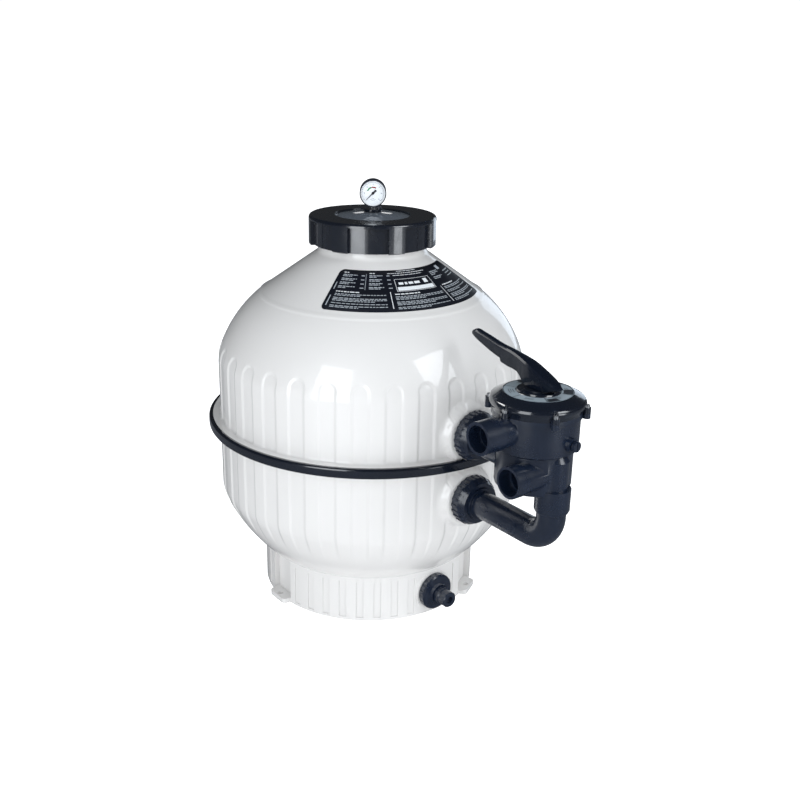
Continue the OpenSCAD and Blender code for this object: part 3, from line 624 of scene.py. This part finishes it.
def clear_plastic(name, colour, sheen, rough=0.03):
    """Thin clear plastic: a tinted see-through sheet under a weak gloss that grows towards grazing view."""
    s = Shader(name)
    swirl = s.noise(18, 3, distortion=1.2)
    s.set(Base_Color=s.mix(swirl, shade(colour, 0.4), shade(colour, 0.5)),
          Roughness=s.remap(s.noise(45, 4), 0.4, 0.8, rough, rough * 3), Specular_IOR_Level=0.8)
    s.bump((swirl, 0.04, 0.0005))
    tint = s.mix(swirl, shade(colour, 0.93), shade(colour, 1.05))
    through = s.add("ShaderNodeBsdfTransparent", {"Color": tint})
    facing = s.add("ShaderNodeLayerWeight", {"Blend": 0.35}).outputs["Facing"]
    share = s.remap(facing, 0.0, 1.0, sheen, min(1.0, sheen * 4))
    blend = s.add("ShaderNodeMixShader", {0: share, 1: through.outputs[0], 2: s.bsdf.outputs[0]})
    s.put(s.tree.nodes["Material Output"], "Surface", blend.outputs[0])
    return s.material


def ink_material(name, colour):
    s = Shader(name)
    base = s.mix(s.noise(400, 3), shade(colour, 0.85), shade(colour, 1.1))
    s.set(Base_Color=base, Roughness=s.remap(s.noise(250), 0.3, 0.7, 0.35, 0.55))
    s.bump((s.noise(1200), 0.1, 0.00003))
    return s.material


# the black of the glossy pieces and the bluer black of the satin ones
BLACK = (0.0045, 0.007, 0.0135)
NAVY = (0.006, 0.0112, 0.0255)
MATERIALS = {
    "tank_white": moulded_plastic("moulded_white", (0.735, 0.722, 0.708), 0.36, coat=0.85, coat_rough=0.045,
                                  grain=0.02, peel=0.04, worn=0.97, mottling=0.008, scuffs=0.0, rubbed=0.3),
    "black_gloss": moulded_plastic("black_gloss", BLACK, 0.18, coat=0.9, coat_rough=0.03, grain=0.03,
                                   peel=0.06, worn=1.8, specular=0.7, rubbed=0.3),
    "black_satin": moulded_plastic("black_satin", NAVY, 0.3, coat=0.5, coat_rough=0.12, grain=0.1, worn=1.6,
                                   specular=0.6, rubbed=0.3),
    "grey_plastic": moulded_plastic("grey_plastic", (0.2, 0.205, 0.21), 0.45, worn=1.2),
    "white_plastic": moulded_plastic("white_plastic", (0.7, 0.7, 0.68), 0.42, worn=0.9, mottling=0.03),
    "smoky_clear": clear_plastic("smoky_clear", (0.36, 0.41, 0.48), 0.3),
    "clear_lens": clear_plastic("clear_lens", (0.985, 0.99, 1.0), 0.03, 0.01),
    "seal_rubber": rubber("seal_rubber", (0.012, 0.012, 0.014)),
    "stainless": metal("stainless", (0.62, 0.63, 0.65), 0.28),
    "brass": metal("brass", (0.62, 0.44, 0.2), 0.3),
    "label_print": moulded_plastic("label_film", (0.007, 0.0085, 0.014), 0.5, coat=0.0, grain=0.04, worn=1.8,
                                   specular=0.1, rubbed=0.2),
    "silver_label": moulded_plastic("silver_film", (0.36, 0.43, 0.48), 0.4, coat=0.3, coat_rough=0.12,
                                    grain=0.05, worn=0.92, mottling=0.06, rubbed=0.2),
    # the dial's face carries a painted glow: it emits a little light so that it reads as bright as a lit
    # white face
    "dial_white": moulded_plastic("dial_enamel_painted_glow", (0.93, 0.97, 1.0), 0.4, coat=0.3, grain=0.02, worn=0.96,
                                  mottling=0.01, scuffs=0.0, painted_glow=0.3),
}
# pieces whose moulding looks different from the rest of their slot
MATERIALS["lid_ring"] = moulded_plastic("ring_gloss", BLACK, 0.24, coat=1.0, coat_rough=0.05, grain=0.03,
                                        peel=0.05, worn=1.8, streaks=0.2, specular=0.9, rubbed=0.3)
MATERIALS["handle_gloss"] = moulded_plastic("handle_gloss", BLACK, 0.24, coat=0.12, coat_rough=0.05,
                                            grain=0.03, peel=0.05, worn=1.8, specular=0.15, rubbed=0.2)
MATERIALS["thrust_washer"] = moulded_plastic("washer_black", BLACK, 0.45, worn=2.0)
MATERIALS["handle_pin"] = metal("pin_dark", (0.1, 0.105, 0.12), 0.35)


def finish_piece(obj, body, slot, *stands_for):
    """Gives a new piece the material of its slot, puts it under its body and hides the CAD nodes it stands
    for.
    """
    obj.data.materials.clear()
    obj.data.materials.append(MATERIALS[slot])
    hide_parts(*stands_for)
    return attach(obj, body)


# ---------- carried-over CAD nodes ----------


def sharp_edges():
    """A modifier group that keeps edges sharp where their faces meet at more than 35 degrees."""
    group = bpy.data.node_groups.new("sharp_edges", "GeometryNodeTree")
    group.is_modifier = True
    for way in ("INPUT", "OUTPUT"):
        group.interface.new_socket("Geometry", in_out=way, socket_type="NodeSocketGeometry")
    make, link = group.nodes.new, group.links.new
    start, end = make("NodeGroupInput"), make("NodeGroupOutput")
    wide = make("ShaderNodeMath")
    wide.operation = "GREATER_THAN"
    wide.inputs[1].default_value = math.radians(35)
    link(make("GeometryNodeInputMeshEdgeAngle").outputs["Unsigned Angle"], wide.inputs[0])
    mark = make("GeometryNodeSetShadeSmooth")
    mark.domain = "EDGE"
    mark.inputs["Shade Smooth"].default_value = False
    link(start.outputs[0], mark.inputs["Geometry"])
    link(wide.outputs[0], mark.inputs["Selection"])
    link(mark.outputs[0], end.inputs[0])
    return group


SHARP_EDGES = sharp_edges()


def soften(obj, width, segments=3, angle=28):
    """Rounds a CAD node's edges by width millimetres, without touching its mesh."""
    weld = obj.modifiers.new("weld", "WELD")
    weld.merge_threshold = 0.002 * MM
    if width:
        flat = obj.modifiers.new("flat", "DECIMATE")
        flat.decimate_type = "DISSOLVE"
        flat.angle_limit = math.radians(0.4)
        bevel = obj.modifiers.new("bevel", "BEVEL")
        bevel.width = width * MM
        bevel.segments = segments
        bevel.limit_method = "ANGLE"
        bevel.angle_limit = math.radians(angle)
        bevel.use_clamp_overlap = True
    obj.modifiers.new("sharp", "NODES").node_group = SHARP_EDGES
    weighted = obj.modifiers.new("weighted", "WEIGHTED_NORMAL")
    weighted.keep_sharp = True
    obj.data.polygons.foreach_set("use_smooth", [True] * len(obj.data.polygons))


# how far each node's edges are rounded, in millimetres; the rest keep their edges
EDGE_WIDTH = {
    "base_skirt": 1.6, "trim_ring": 0.6, "lid_ring": 1.2, "lid": 0.4, "lid_boss": 0.8, "gauge_case": 0.4,
    "union_nut_upper": 0.8, "union_nut_lower": 0.8, "valve_body": 0.9, "valve_lid": 0.8,
    "bleed_plug": 0.5, "drain_nut": 0.8, "drain_cap": 0.5, "elbow_pipe": 0.5, "valve_lid_bolts": 0.3,
    "gauge_stem": 0.3, "air_relief_screw": 0.3,
}


def dress_cad_nodes():
    for name, obj in nodes.items():
        obj.data.materials.clear()
        obj.data.materials.append(MATERIALS.get(name) or MATERIALS[slots[name]])
        soften(obj, EDGE_WIDTH.get(name, 0.0))


# ---------- studio ----------

# colour of the softboxes, a little cooler than the surroundings
BLUISH = (0.95, 0.99, 1.03)


def area_light(name, azimuth, distance, low, high, width, radiance, tint=(1, 1, 1), aim_z=0.45):
    """A softbox that faces the tank; azimuth in degrees from +X."""
    a = math.radians(azimuth)
    centre = Vector((distance * math.cos(a), distance * math.sin(a), (low + high) / 2))
    aim = Vector((0, 0, aim_z)) - centre
    data = bpy.data.lights.new(name, "AREA")
    data.shape = "RECTANGLE"
    data.size, data.size_y = width, high - low
    data.energy = radiance * math.pi * data.size * data.size_y
    data.color = tint
    lamp = bpy.data.objects.new(name, data)
    lamp.location = centre
    lamp.rotation_euler = aim.to_track_quat("-Z", "Y").to_euler()
    bpy.context.scene.collection.objects.link(lamp)
    return lamp


def light_only(lamp, names):
    """Keeps a light to the named pieces."""
    group = bpy.data.collections.new(lamp.name + "_receivers")
    for name in names:
        piece = bpy.data.objects.get(name) or nodes.get(name)
        group.objects.link(piece)
    lamp.light_linking.receiver_collection = group


# direction from which the surroundings are brightest
BRIGHT_SIDE = (math.cos(math.radians(-8)), math.sin(math.radians(-8)), 0.25)


def make_world():
    """Pale surroundings: white to the camera, dim and bluish in reflections, brighter near the horizon."""
    world = bpy.data.worlds.new("studio")
    bpy.context.scene.world = world
    world.use_nodes = True
    tree = world.node_tree
    links, make = tree.links, tree.nodes.new
    back = tree.nodes["Background"]
    path, place = make("ShaderNodeLightPath"), make("ShaderNodeTexCoord")
    split = make("ShaderNodeSeparateXYZ")
    links.new(place.outputs["Generated"], split.inputs[0])
    toward = make("ShaderNodeVectorMath")
    toward.operation = "DOT_PRODUCT"
    links.new(place.outputs["Generated"], toward.inputs[0])
    toward.inputs[1].default_value = BRIGHT_SIDE
    side = make("ShaderNodeMapRange")
    links.new(toward.outputs["Value"], side.inputs["Value"])
    for key, value in (("From Min", -1.0), ("From Max", 1.0), ("To Min", 0.26), ("To Max", 0.84)):
        side.inputs[key].default_value = value
    fade = make("ShaderNodeMapRange")
    links.new(split.outputs["Z"], fade.inputs["Value"])
    for key, value in (("From Min", 0.0), ("From Max", 1.0), ("To Min", 1.0), ("To Max", 0.9)):
        fade.inputs[key].default_value = value
    both = make("ShaderNodeMath")
    both.operation = "MULTIPLY"
    links.new(side.outputs[0], both.inputs[0])
    links.new(fade.outputs[0], both.inputs[1])
    glossy = make("ShaderNodeMix")
    links.new(path.outputs["Is Glossy Ray"], glossy.inputs[0])
    links.new(both.outputs[0], glossy.inputs[2])
    glossy.inputs[3].default_value = 0.03
    seen = make("ShaderNodeMix")
    links.new(path.outputs["Is Camera Ray"], seen.inputs[0])
    links.new(glossy.outputs[0], seen.inputs[2])
    seen.inputs[3].default_value = 1.06
    links.new(seen.outputs[0], back.inputs["Strength"])
    tint = make("ShaderNodeMix")
    tint.data_type = "RGBA"
    links.new(path.outputs["Is Camera Ray"], tint.inputs[0])
    tint.inputs[6].default_value = (0.93, 0.965, 1.0, 1)
    tint.inputs[7].default_value = (0.985, 0.985, 0.985, 1)
    links.new(tint.outputs[2], back.inputs["Color"])


def make_floor():
    """A pale studio floor with a faint texture."""
    reach = 9000
    steps = 24
    line = np.linspace(-reach, reach, steps)
    points = [(x, y, 0.0) for x in line for y in line]
    floor = mesh("studio_floor", points, grid_faces(steps, steps, loop_columns=False))
    s = Shader("studio_floor")
    path = s.add("ShaderNodeLightPath")
    pale = s.mix(s.noise(3, 3), (0.86, 0.86, 0.86), (0.9, 0.9, 0.9))
    s.set(Base_Color=s.mix(path.outputs["Is Glossy Ray"], pale, (0.14, 0.15, 0.17)), Roughness=0.9,
          Specular_IOR_Level=0.1)
    seen = s.remap(path.outputs["Is Camera Ray"], 0, 1, 0.36, 0.9)
    mirrored = s.remap(path.outputs["Is Glossy Ray"], 0, 1, 1, 0.1)
    s.set(Emission_Color=(1, 1, 1, 1), Emission_Strength=s.total(seen, mirrored, "MULTIPLY"))
    floor.data.materials.append(s.material)


def make_camera():
    azimuth, distance, height = -36.0, 1.9436, 1.0783
    heading, pitch, roll = math.radians(142.253), math.radians(-19.75), 0.0214
    data = bpy.data.cameras.new("camera")
    data.lens, data.sensor_width = 45.94, 36.0
    camera = bpy.data.objects.new("camera", data)
    a = math.radians(azimuth)
    camera.location = (distance * math.cos(a), distance * math.sin(a), height)
    level = math.cos(pitch)
    forward = Vector((level * math.cos(heading), level * math.sin(heading), math.sin(pitch)))
    camera.rotation_mode = "QUATERNION"
    camera.rotation_quaternion = forward.to_track_quat("-Z", "Y") @ Quaternion((0, 0, 1), roll)
    bpy.context.scene.collection.objects.link(camera)
    bpy.context.scene.camera = camera


def make_studio():
    make_world()
    make_floor()
    area_light("softbox_left", -63, 2.4, 0.05, 2.35, 1.1, 3.4, tint=BLUISH, aim_z=1.2)
    area_light("softbox_right", 16, 2.5, 1.35, 2.6, 1.2, 4.6, tint=BLUISH)
    area_light("card_right", 9, 2.2, 0.05, 0.8, 0.55, 3.6, tint=BLUISH, aim_z=0.425)
    area_light("softbox_back", 112, 2.6, 0.2, 1.4, 0.9, 1.4, tint=(0.78, 0.88, 1.0))
    streak = area_light("strip_far", 144, 4.0, 1.5, 1.85, 0.6, 2.0)
    light_only(streak, ("lid",))
    rim = area_light("rim_left", -146, 2.6, 2.3, 3.3, 1.9, 9.0)
    light_only(rim, ("handle_lever", "valve_lid"))
    bpy.context.scene.view_settings.view_transform = "Standard"
    make_camera()


dress_cad_nodes()
make_upper_shell()
make_lower_shell()
make_tank_label()
make_label_print()
make_dial_print()
make_valve_print()
make_handle()
make_studio()
